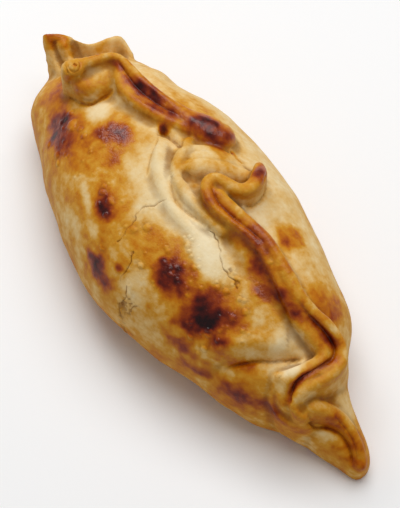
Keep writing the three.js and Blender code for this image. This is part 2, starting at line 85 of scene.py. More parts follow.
# Each fold has the bulge of its near face, in mm, and its rows. A row is a station along the crest: x, y
# and z of its top, the radius of its rounded edge, and how far its near and far faces spread. Near is the
# right-hand side going along the crest.
FOLDS = {
    "pouch": (2.4, [
        (-52.8, -5.2, 38.6, 2.0, 2.2, 2.6),
        (-51.9, -2.8, 39.0, 1.7, 6.8, 3.0),
        (-50.9, 0.6, 39.3, 1.5, 8.8, 3.0),
        (-50.0, 3.4, 39.7, 1.3, 7.4, 2.8),
        (-48.4, 5.4, 39.8, 1.2, 4.4, 2.6),
        (-46.2, 6.3, 39.4, 1.0, 1.8, 2.6),
    ]),
    "bag": (0.0, [
        (-51.0, -4.4, 36.4, 2.6, 3.2, 2.6),
        (-48.6, -4.0, 36.6, 3.0, 3.6, 2.8),
        (-46.8, -2.6, 36.8, 3.2, 3.8, 3.0),
        (-46.0, 0.0, 37.0, 3.2, 3.8, 3.0),
        (-45.6, 2.6, 37.2, 2.6, 3.0, 2.6),
    ]),
    "knob": (0.0, [
        (-52.4, -5.9, 39.5, 2.4, 2.7, 2.7),
        (-51.7, -4.4, 39.8, 2.4, 2.7, 2.7),
    ]),
    "ridge_rope": (0.6, [
        (-50.2, 2.8, 39.5, 1.2, 1.8, 2.8),
        (-48.4, 5.4, 39.8, 1.2, 1.8, 2.6),
        (-45.4, 6.4, 39.5, 1.1, 1.8, 2.8),
        (-40.1, 7.1, 39.3, 1.1, 2.0, 3.0),
        (-33.9, 8.7, 39.1, 1.2, 2.0, 3.0),
        (-28.6, 10.2, 38.9, 1.7, 2.4, 3.4),
        (-24.6, 11.2, 38.9, 2.9, 4.2, 4.2),
        (-20.4, 12.8, 39.3, 4.2, 6.0, 5.2),
        (-17.4, 14.4, 39.4, 5.0, 6.8, 5.6),
        (-16.0, 15.4, 38.9, 4.6, 6.2, 5.2),
    ]),
    "ridge_layer": (0.8, [
        (-47.4, 5.0, 38.4, 1.2, 2.4, 2.0),
        (-45.0, 3.9, 38.1, 1.6, 2.6, 2.6),
        (-42.0, 3.2, 38.1, 1.8, 2.7, 3.0),
        (-38.0, 2.9, 38.3, 1.8, 2.7, 3.2),
        (-34.2, 3.6, 38.5, 1.8, 2.7, 3.2),
        (-30.6, 4.9, 38.7, 1.8, 2.7, 3.2),
        (-27.4, 6.4, 38.7, 1.9, 2.9, 3.4),
        (-23.8, 8.6, 38.6, 2.0, 3.0, 3.2),
        (-20.4, 10.8, 38.3, 2.0, 3.0, 3.0),
    ]),
    "ridge_web": (0.0, [
        (-47.0, 5.3, 39.0, 1.1, 1.6, 1.6),
        (-43.0, 5.2, 38.4, 1.2, 1.6, 1.6),
        (-38.0, 5.1, 38.3, 1.2, 1.6, 1.6),
        (-33.6, 6.2, 38.4, 1.2, 1.6, 1.6),
        (-29.2, 7.6, 38.4, 1.2, 1.6, 1.6),
        (-25.0, 9.6, 38.4, 1.2, 1.6, 1.6),
    ]),
    "under_roll": (0.6, [
        (-16.6, 5.2, 38.2, 2.0, 2.6, 2.8),
        (-14.8, 6.6, 39.2, 2.8, 3.6, 4.0),
        (-13.0, 8.2, 39.5, 3.3, 4.2, 5.0),
        (-11.4, 10.0, 39.4, 3.3, 4.2, 5.0),
        (-9.8, 12.0, 38.8, 3.1, 4.0, 5.0),
        (-8.2, 13.8, 37.8, 2.6, 3.6, 4.4),
    ]),
    "bridge": (0.0, [
        (-13.2, 3.8, 39.6, 2.2, 2.6, 2.8),
        (-12.2, 5.2, 40.3, 2.8, 3.2, 3.6),
        (-11.0, 7.2, 40.5, 3.0, 3.4, 4.0),
        (-9.4, 9.6, 40.2, 3.0, 3.4, 4.0),
        (-7.8, 11.8, 39.4, 2.8, 3.2, 3.6),
        (-5.8, 14.0, 37.8, 2.3, 2.8, 3.2),
    ]),
    "pillow": (0.3, [
        (-11.0, 2.2, 40.4, 2.4, 2.8, 2.8),
        (-10.4, 3.6, 41.0, 2.9, 3.3, 3.3),
        (-9.2, 6.0, 41.1, 2.9, 3.4, 3.4),
        (-7.3, 8.6, 40.8, 2.9, 3.5, 3.5),
        (-5.0, 11.6, 39.8, 2.7, 3.3, 3.3),
        (-3.0, 14.2, 38.0, 2.2, 2.8, 2.8),
    ]),
    "lip": (0.0, [
        (-17.6, 7.6, 38.9, 1.5, 2.2, 2.0),
        (-16.2, 5.4, 39.7, 1.8, 2.4, 2.0),
        (-13.9, 2.7, 40.2, 1.9, 2.6, 2.0),
        (-11.2, 0.5, 40.4, 2.0, 2.6, 2.0),
        (-7.9, -0.9, 40.5, 2.0, 2.7, 2.0),
        (-3.8, -1.2, 40.4, 2.1, 2.8, 2.2),
        (0.4, -0.4, 40.3, 2.1, 3.0, 2.6),
        (4.4, 0.4, 40.2, 2.0, 3.0, 3.0),
        (8.4, 1.2, 39.8, 1.8, 3.0, 3.0),
    ]),
    "lip_bed": (0.0, [
        (-8.0, 1.6, 38.6, 2.4, 3.0, 3.0),
        (-4.8, 1.5, 39.1, 3.0, 3.6, 3.6),
        (-1.0, 1.6, 39.6, 3.2, 3.8, 3.8),
    ]),
    "hook": (0.0, [
        (-1.6, 18.2, 39.6, 1.6, 1.4, 1.6),
        (0.6, 16.8, 41.2, 2.1, 1.6, 1.8),
        (2.6, 14.4, 42.0, 2.1, 1.4, 1.8),
        (3.4, 11.4, 42.6, 1.9, 1.2, 1.8),
        (2.4, 9.1, 43.2, 1.7, 1.2, 1.8),
        (0.1, 7.7, 43.6, 1.7, 1.4, 1.8),
        (-2.0, 6.3, 44.0, 1.7, 1.6, 1.8),
        (-2.7, 4.6, 44.0, 1.7, 1.8, 1.8),
        (-1.6, 3.0, 44.0, 1.7, 1.9, 1.6),
        (0.4, 2.0, 43.8, 1.4, 2.2, 1.4),
        (3.0, 1.9, 43.3, 1.1, 2.6, 1.4),
    ]),
    "near_edge": (-0.4, [
        (-1.4, 2.6, 43.4, 1.2, 2.4, 1.4),
        (0.8, 1.6, 43.6, 1.1, 2.6, 1.4),
        (4.3, 1.7, 43.0, 1.0, 2.6, 1.4),
        (8.6, 2.9, 42.3, 1.0, 3.4, 1.4),
        (11.8, 4.2, 41.7, 1.0, 5.4, 1.6),
        (15.5, 5.4, 40.8, 1.2, 8.0, 2.0),
        (22.0, 6.3, 38.8, 1.5, 9.8, 2.5),
        (31.0, 5.8, 35.6, 1.8, 7.0, 2.5),
        (36.8, 5.6, 32.8, 2.0, 5.0, 2.5),
        (41.4, 6.6, 30.3, 2.0, 3.6, 2.4),
        (44.6, 7.0, 28.7, 2.0, 3.2, 2.4),
        (46.3, 5.4, 27.9, 2.0, 3.2, 2.4),
        (46.5, 2.2, 27.3, 2.1, 3.4, 2.4),
        (46.0, -1.4, 26.6, 2.4, 3.8, 2.6),
        (46.6, -4.2, 25.1, 2.6, 3.4, 2.8),
        (47.9, -5.6, 22.6, 2.4, 2.4, 2.8),
        (49.4, -5.3, 20.0, 2.0, 1.6, 2.6),
        (50.6, -4.0, 17.6, 1.5, 1.3, 2.2),
    ]),
    "far_edge": (0.0, [
        (-1.2, 4.4, 42.2, 1.2, 1.6, 1.8),
        (0.8, 4.4, 43.2, 1.5, 1.8, 2.0),
        (4.0, 4.8, 42.8, 1.6, 1.8, 2.2),
        (8.0, 5.8, 42.1, 1.6, 1.8, 2.4),
        (13.0, 7.3, 41.3, 1.6, 1.8, 2.4),
        (19.0, 8.2, 40.4, 1.6, 1.8, 2.6),
        (26.0, 8.0, 38.4, 1.6, 1.8, 2.8),
        (32.4, 7.7, 36.2, 1.7, 1.8, 2.8),
        (37.0, 8.9, 33.8, 1.7, 1.8, 2.8),
        (41.2, 10.9, 31.2, 1.75, 2.0, 2.6),
        (45.2, 11.7, 28.4, 1.75, 2.0, 2.2),
        (48.1, 10.2, 27.0, 1.75, 2.0, 2.2),
        (49.5, 7.4, 26.4, 1.75, 2.0, 2.2),
        (49.9, 3.6, 26.1, 1.75, 2.0, 2.2),
        (49.5, -0.6, 25.6, 1.75, 2.0, 2.1),
        (50.0, -3.6, 24.3, 1.75, 2.0, 2.0),
        (51.4, -5.0, 22.2, 1.7, 1.8, 2.0),
        (53.2, -4.2, 19.8, 1.5, 1.6, 1.8),
    ]),
    "web": (0.0, [
        (0.4, 3.0, 42.4, 1.0, 1.4, 1.4),
        (5.0, 3.3, 41.9, 1.0, 1.4, 1.4),
        (9.0, 4.5, 41.0, 1.0, 1.4, 1.4),
        (13.0, 5.9, 40.4, 1.1, 1.5, 1.5),
        (19.0, 7.2, 39.3, 1.2, 1.6, 1.6),
        (26.0, 7.0, 37.0, 1.2, 1.6, 1.6),
        (32.4, 6.6, 34.8, 1.2, 1.6, 1.6),
        (37.0, 7.4, 32.3, 1.2, 1.6, 1.6),
        (41.4, 8.9, 29.8, 1.4, 1.8, 1.8),
        (45.2, 9.6, 27.4, 1.5, 1.9, 1.9),
        (47.2, 8.2, 26.4, 1.5, 1.9, 1.9),
        (48.0, 5.4, 25.8, 1.4, 1.8, 1.8),
        (47.9, 2.0, 25.4, 1.4, 1.8, 1.8),
        (47.8, -2.0, 24.6, 1.4, 1.8, 1.8),
        (48.6, -4.4, 22.6, 1.3, 1.6, 1.8),
        (50.0, -4.6, 20.0, 1.1, 1.3, 1.6),
    ]),
    "tip_seam": (0.0, [
        (50.8, -3.8, 20.2, 1.7, 1.4, 2.0),
        (52.0, -2.2, 20.8, 2.1, 1.4, 2.4),
        (53.4, -0.2, 20.6, 2.3, 1.4, 2.8),
        (55.4, 2.3, 18.8, 2.2, 1.4, 3.0),
        (58.4, 4.5, 15.6, 2.0, 1.4, 3.0),
        (61.9, 5.0, 12.9, 1.9, 1.4, 2.6),
        (64.9, 4.7, 10.4, 1.8, 1.3, 2.0),
        (66.9, 4.1, 7.9, 1.5, 1.2, 1.6),
    ]),
    "hem": (0.0, [
        (44.4, -4.8, 25.4, 1.8, 1.8, 1.8),
        (45.4, -6.2, 23.2, 2.1, 1.8, 1.8),
        (46.5, -7.0, 20.4, 2.2, 1.6, 1.8),
        (48.0, -7.2, 18.0, 2.2, 1.4, 1.8),
        (50.0, -6.4, 16.6, 2.1, 1.2, 1.8),
        (52.2, -5.0, 16.2, 1.9, 1.0, 1.6),
        (54.2, -3.2, 15.6, 1.5, 1.0, 1.4),
    ]),
    "soft_band": (0.0, [
        (-22.6, 3.8, 36.6, 1.2, 2.0, 2.0),
        (-20.8, 2.0, 38.3, 2.2, 3.0, 4.0),
        (-17.4, -0.8, 39.0, 2.5, 3.4, 4.8),
        (-12.8, -3.4, 39.1, 2.6, 3.6, 4.8),
        (-8.4, -4.6, 39.0, 2.6, 3.8, 4.8),
        (-3.6, -5.4, 38.8, 2.6, 3.8, 4.8),
        (1.2, -5.2, 38.4, 2.4, 3.6, 3.4),
        (6.4, -4.4, 37.3, 2.0, 3.4, 3.2),
        (10.0, -3.8, 35.8, 1.6, 3.0, 3.0),
    ]),
}
FOLD_STEP = 0.6  # length of crest between two sections, mm
FEWEST_STATIONS = 8
EDGE_STEPS = 16
FACE_STEPS = 8
FACE_SINK = 1.2
KEEL_DROP = 4
EDGE_HANG = 0.35
END_ANGLES = np.radians([25, 45, 62, 76, 86])

# The flared tab at the tail, by stations along its rim: rim x, y, z and root x, y, z.
TAB_ROWS = [
    (-66.2, -5.0, 14.5, -57.0, -6.0, 13.0),
    (-68.9, -4.1, 17.5, -57.0, -5.5, 14.0),
    (-71.3, -3.5, 21.0, -57.0, -4.5, 15.0),
    (-72.3, -2.4, 23.4, -57.0, -3.0, 15.5),
    (-70.8, -0.3, 23.9, -57.0, -1.0, 16.0),
    (-69.6, 1.6, 23.6, -57.0, 1.0, 16.0),
    (-67.8, 3.5, 23.2, -56.5, 3.0, 16.0),
    (-65.4, 4.9, 22.8, -56.0, 5.0, 16.0),
    (-63.5, 6.4, 22.8, -55.5, 6.5, 16.0),
    (-62.5, 9.0, 23.2, -55.0, 8.0, 16.0),
    (-61.9, 11.8, 23.6, -54.5, 9.5, 15.5),
    (-60.9, 13.9, 23.4, -54.0, 10.5, 15.0),
    (-58.6, 14.4, 22.2, -52.5, 11.0, 15.0),
    (-55.4, 14.2, 20.8, -50.5, 11.0, 15.0),
]
TAB_RINGS = 60
TAB_RIM_RADIUS = 1.8
TAB_ROOT_HEIGHT = 7
TAB_WAIST_PLACE = 0.35  # share of the way from the rim to the root
TAB_WAIST_RISE = 0.2  # in radii of the rim

# The seam of the tip, in plan.
TIP_SEAM_PATH = [
    (53.9, -3.6), (55.3, -1.8), (57.1, 0.6), (59.6, 2.5), (62.2, 3.1), (64.6, 2.9), (66.2, 2.2),
]

# Narrow creases and ribs drawn on the skin: height, width, and x, y along the line.
STROKE_FADE = 0.15  # share of a stroke's length over which it comes in and goes out
STROKES = [
    (1.7, 1.5, [(-69.6, 0.9), (-66.6, 0.6), (-63.6, 0.2), (-61.0, 0.0)]),
    (-0.6, 0.9, [(-70.6, -1.2), (-67.2, -1.7), (-64.2, -1.9)]),
    (-0.45, 0.9, [(-68.8, 3.4), (-66.2, 3.0), (-63.0, 2.6)]),
    (-0.4, 0.8, TIP_SEAM_PATH),
    (-1.4, 1.8, [
        (29.1, -22.0), (31.1, -19.0), (33.7, -15.0), (36.1, -11.4),
        (38.1, -8.0), (40.3, -4.7), (42.1, -1.0), (43.4, 1.8),
    ]),
    (0.9, 2.2, [(29.0, -15.4), (32.4, -9.6), (34.6, -6.2), (36.8, -2.8), (38.6, 0.6)]),
    (-0.8, 0.9, [(-25.6, 3.3), (-23.6, 4.1), (-21.6, 4.8), (-19.4, 5.3), (-17.6, 5.1), (-16.4, 4.2)]),
]
LINE_STEPS = 8  # points on a smoothed line for each point given
UPWARD_GAIN = 2.5  # strokes, swells and creases are full where the normal's z is above 1 over this
# Sharp creases cut after the skin is made finer: depth, width, bake and path. The bake darkens the skin along
# a crease, partly as browning and partly as painted shade.
CREASES = [
    (0.3, 0.28, 0.42, [
        (-52.9, -4.2), (-51.4, -3.5), (-50.2, -4.2), (-49.9, -5.4),
        (-50.8, -6.5), (-52.2, -6.6), (-53.0, -5.6),
    ]),
    (0.4, 0.28, 0.48, [(-52.0, -5.1), (-51.4, -4.9), (-50.9, -4.7)]),
    # The bake of the next crease is painted shadow under the end of the ridge.
    (0.5, 0.40, 0.30, [(-25.0, 4.0), (-23.6, 4.3), (-21.6, 4.8), (-19.4, 5.3), (-17.6, 5.1), (-16.4, 4.2)]),
    (0.5, 0.35, 0.66, [(-47.5, 4.9), (-43.5, 5.0), (-39.0, 5.2), (-34.0, 6.3), (-29.5, 7.8), (-25.5, 9.6)]),
    (0.5, 0.35, 0.44, [
        (-53.9, -6.8), (-49.8, -7.6), (-46.2, -7.0), (-43.7, -5.3), (-42.8, -2.3), (-42.6, 1.0),
    ]),
    # The bake of the next crease, the lower crease, is painted shade under the overhang.
    (0.9, 0.42, 0.28, [(33.4, -14.4), (35.6, -11.0), (37.6, -7.6), (39.8, -4.3), (41.6, -0.6), (43.2, 2.6)]),
    (0.5, 0.34, 0.52, TIP_SEAM_PATH),
    (0.3, 0.30, 0.50, [(57.2, 2.8), (59.0, 3.6), (61.2, 4.3), (63.8, 4.3), (66.6, 3.5)]),
    (0.25, 0.28, 0.26, [
        (-24.4, 3.2), (-22.9, 2.0), (-21.3, 0.3), (-19.4, -2.2), (-16.9, -4.5), (-14.8, -6.3),
    ]),
    (0.5, 0.24, 0.50, [(-11.4, 16.2), (-9.6, 16.4), (-8.2, 16.1), (-6.6, 16.6)]),
    (0.8, 0.38, 0.66, [
        (33.0, 6.6), (37.5, 7.5), (41.6, 9.1), (45.2, 9.8), (47.2, 8.3), (47.9, 5.4), (47.8, 2.0),
        (47.6, -1.6), (48.5, -4.8), (50.6, -6.2),
    ]),
    (0.5, 0.30, 0.58, [(-0.4, 3.6), (4.0, 3.2), (9.0, 4.4), (13.0, 5.8), (18.0, 7.0)]),
    # The next crease, at the foot of the hook, is darkened mostly as painted shadow under the hook.
    (0.45, 0.35, 0.38, [(0.6, 19.4), (2.6, 17.6), (4.4, 15.6), (5.5, 13.2), (5.6, 11.0), (5.0, 9.4)]),
    # The next crease, at the outer foot of the lip, is there for its painted shade.
    (0.4, 0.35, 0.24, [
        (-10.6, -1.6), (-9.3, -2.8), (-6.8, -3.8), (-4.3, -4.2), (-1.2, -3.8), (1.9, -2.8), (5.5, -1.7),
    ]),
]
CREASE_BAKE_REACH = 2.2  # in widths of the crease
# Soft rises and hollows: x, y, radius and height.
SWELLS = [
    (44.0, -3.0, 4.5, 0.5),
    (-27.0, 21.0, 9.0, 0.7),
    (-40.5, 19.5, 7.0, -0.6),
    (-47.0, 16.0, 5.0, 0.6),
    (-8.5, 0.8, 2.5, -0.4),
    (-24.1, 4.2, 2.2, -1.0),
]
VOXEL = 0.55  # mm
RELAX_STRENGTH = 0.5
JOIN_ROUNDS = 6  # smoothing rounds straight after the remesh
VALLEY_CURVE = 0.03  # how hollow, in mm, takes the full smoothing
VALLEY_ROUNDS = 10
CRISP_ROUNDS = 14  # smoothing rounds between the skin and the one it is sharpened against
CRISP_GAIN = 1.1
CRISP_LIMIT = 0.5  # mm
CRISP_START = -58  # the thin tab, before this x, is left as it is
CRISP_FADE = 2  # length over which the sharpening comes in after that x, mm
CRISP_UPWARD_GAIN = 2
FAR = 1e9  # further than anything here, mm

# ---- Surface detail --------------------------------------------------------------------------------

LUMPS = [(13, 0.45), (5.5, 0.16), (2.2, 0.06)]  # size of the lumps and their height, mm
CRACK_DEPTH = 0.40
CRACK_WIDTH = 0.17
CRACK_LIFT = 0.18  # the lip along one side of a crack
CRACK_LIP = 1.1  # how far the lip reaches from the crack, mm
CRACK_WANDER = 0.7
CRACK_WANDER_SIZE = 1.7
CRACK_OPENNESS = 0.7  # how open a crack is where the noise along it is 0
CRACK_OPENNESS_SIZE = 2.5
# Shifts that make the noises of one place differ.
CRACK_NOISE_SHIFT = 50
SPOT_NOISE_SHIFT = 20
MOTTLE_NOISE_SHIFT = 80
CRACKS = [
    [(-6.2, -6.4), (-6.8, -9.0), (-8.0, -11.5), (-7.4, -14.0), (-6.0, -16.0), (-5.3, -18.5), (-5.2, -20.5)],
    [(-0.6, -18.8), (0.8, -20.2), (1.6, -21.6), (2.2, -24.6)],
    [(4.6, -23.6), (5.6, -25.0), (6.6, -27.0), (9.0, -24.2)],
    [(7.0, -1.2), (11.0, -1.2), (14.0, -3.0), (17.0, -3.6), (19.4, -3.3), (22.4, -3.3)],
]
# Small ragged holes where a crack has crumbled: x, y and radius.
TEARS = [
    (6.2, -26.0, 1.1), (7.9, -25.2, 0.7), (5.4, -26.6, 0.5),
    (-0.3, -19.0, 0.6), (18.2, -2.5, 0.7), (21.1, -2.9, 0.9),
]
TEAR_GRAIN = 0.8  # mm
TEAR_SHARE = (0.6, 0.9)  # the share of its radius that a tear reaches, and how much that varies
# Blisters: x, y, radius and height.
BLISTERS = [
    (-42.8, -12.6, 1.6, 0.5), (-41.2, -13.4, 1.1, 0.4), (-46.8, -10.6, 1.0, 0.35), (-39.4, -12.3, 0.8, 0.3),
    (-36.6, -12.6, 0.8, 0.3), (-38.6, -19.6, 1.0, 0.4), (-36.8, -20.4, 0.9, 0.35), (-44.4, -18.8, 0.9, 0.35),
    (-46.0, -14.2, 0.8, 0.3), (-15.8, -17.4, 1.1, 0.4), (-18.4, -17.8, 0.9, 0.35), (-17.0, -19.8, 0.8, 0.3),
    (-13.4, -20.2, 0.8, 0.3), (-19.8, -16.6, 0.7, 0.25), (-2.6, -14.4, 1.1, 0.35), (-4.4, -17.2, 0.9, 0.3),
    (10.2, -14.0, 0.7, 0.3), (9.4, -15.2, 0.6, 0.3), (10.6, -15.8, 0.7, 0.3), (7.0, -15.6, 0.6, 0.25),
    (12.6, -15.2, 0.6, 0.25), (7.6, -8.8, 0.7, 0.25), (9.0, -9.2, 0.6, 0.25), (12.6, -10.6, 0.8, 0.3),
    (5.4, -13.4, 0.7, 0.25), (11.0, -11.8, 0.6, 0.25), (3.6, -20.2, 0.9, 0.35), (22.4, -6.6, 0.9, 0.4),
    (27.5, -9.0, 0.9, 0.4), (20.4, -8.0, 0.8, 0.3), (29.0, -5.0, 0.9, 0.35), (25.4, -5.0, 0.7, 0.3),
    (26.6, -4.0, 0.7, 0.3), (26.0, -15.0, 0.7, 0.3), (28.0, -17.4, 0.9, 0.35), (25.6, -11.4, 0.6, 0.25),
    (29.4, -14.2, 0.7, 0.3), (31.8, -8.2, 0.6, 0.25), (17.8, -11.4, 0.6, 0.25), (24.2, -18.6, 0.7, 0.3),
]
# Where small blisters are scattered: x, y, reach and how many.
BLISTER_FIELDS = [
    (-42, -15, 8, 14), (-30, -8, 6, 14), (-16, -18, 5, 12), (-4, -20, 7, 14), (9, -13, 7, 34),
    (25, -11, 9, 30), (22, 4, 8, 10), (-32, -13, 8, 10),
]
SMALL_BLISTER = (0.28, 0.55)  # least and greatest radius
SMALL_BLISTER_RISE = 0.38  # height over radius
BLISTER_UNEVENNESS = 0.22
BLISTER_UNEVENNESS_SIZE = 0.9  # mm
BLISTER_ROUNDNESS = 0.8
DETAIL_MARGIN = 0.4
FINE_REACH = [0.8, 0.38]  # distance from a crease or crack within which each refinement is made
FINE_NORMAL = 0.2  # only skin whose normal's z is above this is refined
FLAT_HEIGHT = 4  # below this height the relief fades out towards the flat underside, mm
# How hollow the skin must be to get the painted shade of its hollows.
CAVITY_ROUNDS = 12
CAVITY_DEPTH = 0.16  # how hollow, in mm, counts as a full cavity
CAVITY_START = 2  # no cavities below this height, and full ones 1 mm above it

# ---- Browning, with some painted shade: 0 is raw dough and 1 is burnt ------------------------------

BASE_BAKE = 0.23
LOW_BAKE_AND_SHADE = 0.17  # extra browning low on the sides, partly painted shade
LOW_BAKE_AND_SHADE_HEIGHTS = (12, 27)  # all of it below the first height, none above the second
MOTTLE = [(9, 0.08), (3.6, 0.12), (1.4, 0.07)]  # size and strength
MOTTLE_GAIN = [(0.15, 0.30, 0.45, 0.60, 0.75), (0.5, 0.8, 1.2, 1.5, 2.0)]  # bakes, and its strength there
BLISTER_PALENESS = 0.03
SPOT_SHARPNESS = 4
SPOT_WANDER = [(4.5, 0.30), (1.8, 0.22)]
# x, y, reach along x, reach across it, turn in degrees, bake at the middle
SPOTS = [
    # Golden round the scorched places of the near side
    (-58, -9, 7, 6, 0, 0.46), (-45, -15, 10, 6, -10, 0.48), (-38, -12, 8, 4, 0, 0.46),
    (-30, -10, 8, 4, 0, 0.46), (-30, -15, 10, 5, 0, 0.47), (-21, -15, 9, 4, -10, 0.48),
    (-16, -19, 7, 4, 0, 0.48), (-28, -21, 12, 5, 0, 0.41), (-42, -21.5, 7, 4, 0, 0.42),
    (-5, -22, 8, 7, 0, 0.44), (-2, -16, 5, 4, 0, 0.42), (8, -13, 9, 6, 0, 0.43), (23, -12, 9, 8, 0, 0.46),
    (35, -4.6, 3.6, 3, 0, 0.44), (27, -18, 8, 4, 0, 0.46), (40, -12, 6, 4, 0, 0.42),
    (46.6, -5, 2.4, 3, 0, 0.42), (46, -8, 4, 2.5, 0, 0.44), (-34, -25, 14, 4, 0, 0.36),
    # Scorched places
    (-45, -16, 4.6, 2.9, 0, 0.70), (-46.5, -12.5, 3, 1.6, 0, 0.70), (-41, -17.5, 4, 2.2, 0, 0.66),
    (-38, -17.5, 3, 2.4, 0, 0.60), (-44.8, -16.8, 3.2, 1.2, 25, 0.92), (-46, -13, 1.6, 0.9, 60, 0.86),
    (-31, -7.5, 5, 3.4, 0, 0.60), (-31, -5.2, 3.6, 2.8, 0, 0.74), (-33, -9.3, 3.0, 1.4, 0, 0.76),
    (-27.5, -3.5, 4, 2.6, 0, 0.34),
    (-14, -19.8, 3, 1.3, 0, 0.80), (-16.5, -18.5, 2.6, 1.6, 0, 0.70),
    (-5.4, -28.1, 5.4, 3.0, 0, 0.72), (-7.6, -27.9, 2.8, 1.7, 0, 0.88), (0.2, -24.3, 1.3, 0.9, 0, 0.72),
    (10.5, -15, 3.6, 2.8, 0, 0.75), (11.5, -18, 3, 2, 0, 0.68), (7.4, -15.5, 2, 1.3, 0, 0.72),
    (12, -11, 2.6, 1.6, 0, 0.56),
    (23.2, -13.6, 5.0, 4.3, 0, 0.90), (28, -10, 3.2, 3, 0, 0.76), (21.4, -10.8, 3, 2.2, 0, 0.68),
    (30.5, -12, 2.6, 2.6, 0, 0.66), (23, -17.5, 3.2, 1.8, 0, 0.78),
    (23, -21.3, 6, 1.8, 8, 0.70), (30, -19.3, 4, 1.6, 20, 0.62), (40, -15.2, 4.6, 2.8, 25, 0.78),
    # The last spot on the next line, below the lower crease, is painted shade.
    (45, -11.4, 2.8, 2.2, 25, 0.62), (42, -14, 6, 4, 20, 0.54), (36.4, -11.9, 4.2, 1.5, 60, 0.57),
    # The far side
    (16, 17, 5.5, 4, 0, 0.43), (17, 15, 3.4, 1.6, 0, 0.57), (16.5, 19, 3, 1.2, 0, 0.53),
    (35, 17, 6, 5, 0, 0.43), (34, 13.5, 3.4, 1.7, 0, 0.55), (37.5, 16.5, 3.2, 2.2, 0, 0.56),
    (-28, 18, 9, 5, 0, 0.38),
    # The folds
    (-33.6, 6.5, 6.0, 1.4, 12, 0.90), (-30.5, 7, 4.5, 1.2, 22, 0.76),
    (-16.5, 13.4, 5.5, 3.2, 30, 0.81), (-13.4, 14.8, 2.2, 2.0, 0, 0.72),
    (-23, 10.4, 5, 2, 28, 0.60), (-17, 10.6, 6, 1.6, 20, 0.60), (-30, 4.8, 4.5, 1.3, 20, 0.62),
    # The first spot on the next line is painted shade in the hollow under the ridge.
    (-24.2, 4.25, 1.6, 1.3, 0, 0.86), (-2.2, 5.4, 2.4, 2.4, 0, 0.44), (1.9, 17.8, 2.8, 1.6, -30, 0.70),
    (16, 4, 4.5, 2, 0, 0.69), (22, 3, 7, 2.4, -5, 0.70), (27, 1, 6, 1.8, 0, 0.68),
    (31.5, 3.2, 5, 2.0, 8, 0.74), (35.4, 4.4, 2.8, 1.3, 15, 0.74),
    (35.5, 6.4, 3.5, 1.3, 0, 0.70), (14, 1.8, 6, 1.6, 5, 0.52),
    # The tab and the tip
    (-71, -2.2, 2.4, 2.2, 0, 0.50), (-68, 0, 3, 1.4, 0, 0.56), (-62, 10, 3, 5, 20, 0.32),
    (60, 2.8, 7, 1.2, 10, 0.50), (67, 2, 4, 1.6, 0, 0.62), (66, 5.6, 3, 1.5, 10, 0.56),
    (54, 1, 3, 2, 50, 0.56), (58, 4.2, 4, 1, 30, 0.60), (48.6, -4.6, 3.2, 1.2, -30, 0.58),
    (52, -5, 5, 2, 12, 0.48), (62, 0.4, 5, 1.6, 12, 0.46),
]
# Pale places: x, y, reach along x, reach across it, turn and strength.
PALE_SPOTS = [
    (-41, -6, 4.5, 3, 0, 0.8), (-18, -5, 6, 3, -15, 0.2), (-5, -9, 5, 4, 0, 0.5), (8, -5, 12, 3, 0, 0.85),
    (14, -7.6, 6, 2, 0, 0.7), (39, -0.8, 2.6, 4, 30, 0.45), (43.2, -1.8, 2.2, 3.2, 0, 1.0),
    (-43, 0.5, 1.6, 2, 0, 0.3), (-14, -2, 8, 2.4, 0, 0.4), (0, 24, 20, 4, 0, 0.2), (56, 9, 5, 3, 0, 0.5),
    (9, 14.5, 4, 4, 0, 0.4), (-22, -20.6, 5, 1.2, -23, 0.55), (-13, -24, 2.8, 1.6, -20, 0.5),
    (-19, -9.4, 5, 1.5, -15, 0.5), (-9, -13.4, 3.4, 1.4, -55, 0.5), (-4, -23.8, 2.6, 1.2, 0, 0.45),
    (57.6, -1.2, 3.4, 1.6, 20, 0.5), (-13.5, 8.4, 4, 2.4, 30, 0.4), (-47.4, 5.6, 3, 1.8, 0, 0.2),
    (48, -6, 2.6, 1.6, 0, 0.3), (7, 6.4, 6, 1.4, 8, 0.2), (34.5, 8.4, 5, 1.4, 20, 0.25),
    (33.4, -9.4, 3.5, 1.4, 60, 0.35), (43.5, 11.4, 3.6, 1.7, 20, 0.45), (50.4, -4.2, 2.4, 1.4, -60, 0.35),
    (53, -1.4, 4, 1.9, 52, 0.35),
]
# Bake along the crest of each fold. The bag, the face of the pouch, and the groove floors ridge_web and web
# are darker partly as browning and partly as painted shade.
FOLD_BAKES = {
    "pouch": 0.42, "bag": 0.52, "knob": 0.38, "ridge_rope": 0.53, "ridge_layer": 0.46, "ridge_web": 0.68,
    "under_roll": 0.24, "bridge": 0.26, "pillow": 0.34, "lip": 0.34, "lip_bed": 0.32, "hook": 0.50,
    "near_edge": 0.48, "far_edge": 0.47, "web": 0.70, "tip_seam": 0.43, "hem": 0.48, "soft_band": 0.18,
}
FOLD_BAKE_REACH = 1.15  # in radii of the fold's rounded edge
FOLD_BAKE_SHARPNESS = 8
FOLD_BAKE_STEPS = 6  # points on a smoothed crest for each station
PALE_STRENGTH = 0.85
SEED = 4


def smooth_rows(rows, count):
    """Rows of numbers on a Catmull-Rom spline through the given rows, as many as count."""
    rows = np.array(rows, float)
    last = len(rows) - 1
    t = np.linspace(0, last, count)
    i = np.minimum(t.astype(int), last - 1)
    w = (t - i)[:, None]
    start = rows[i]
    end = rows[i + 1]
    start_slope = (end - rows[np.maximum(i - 1, 0)]) / 2
    end_slope = (rows[np.minimum(i + 2, last)] - start) / 2
    cubic = 2 * start - 2 * end + start_slope + end_slope
    square = -3 * start + 3 * end - 2 * start_slope - end_slope
    return ((cubic * w + square) * w + start_slope) * w + start


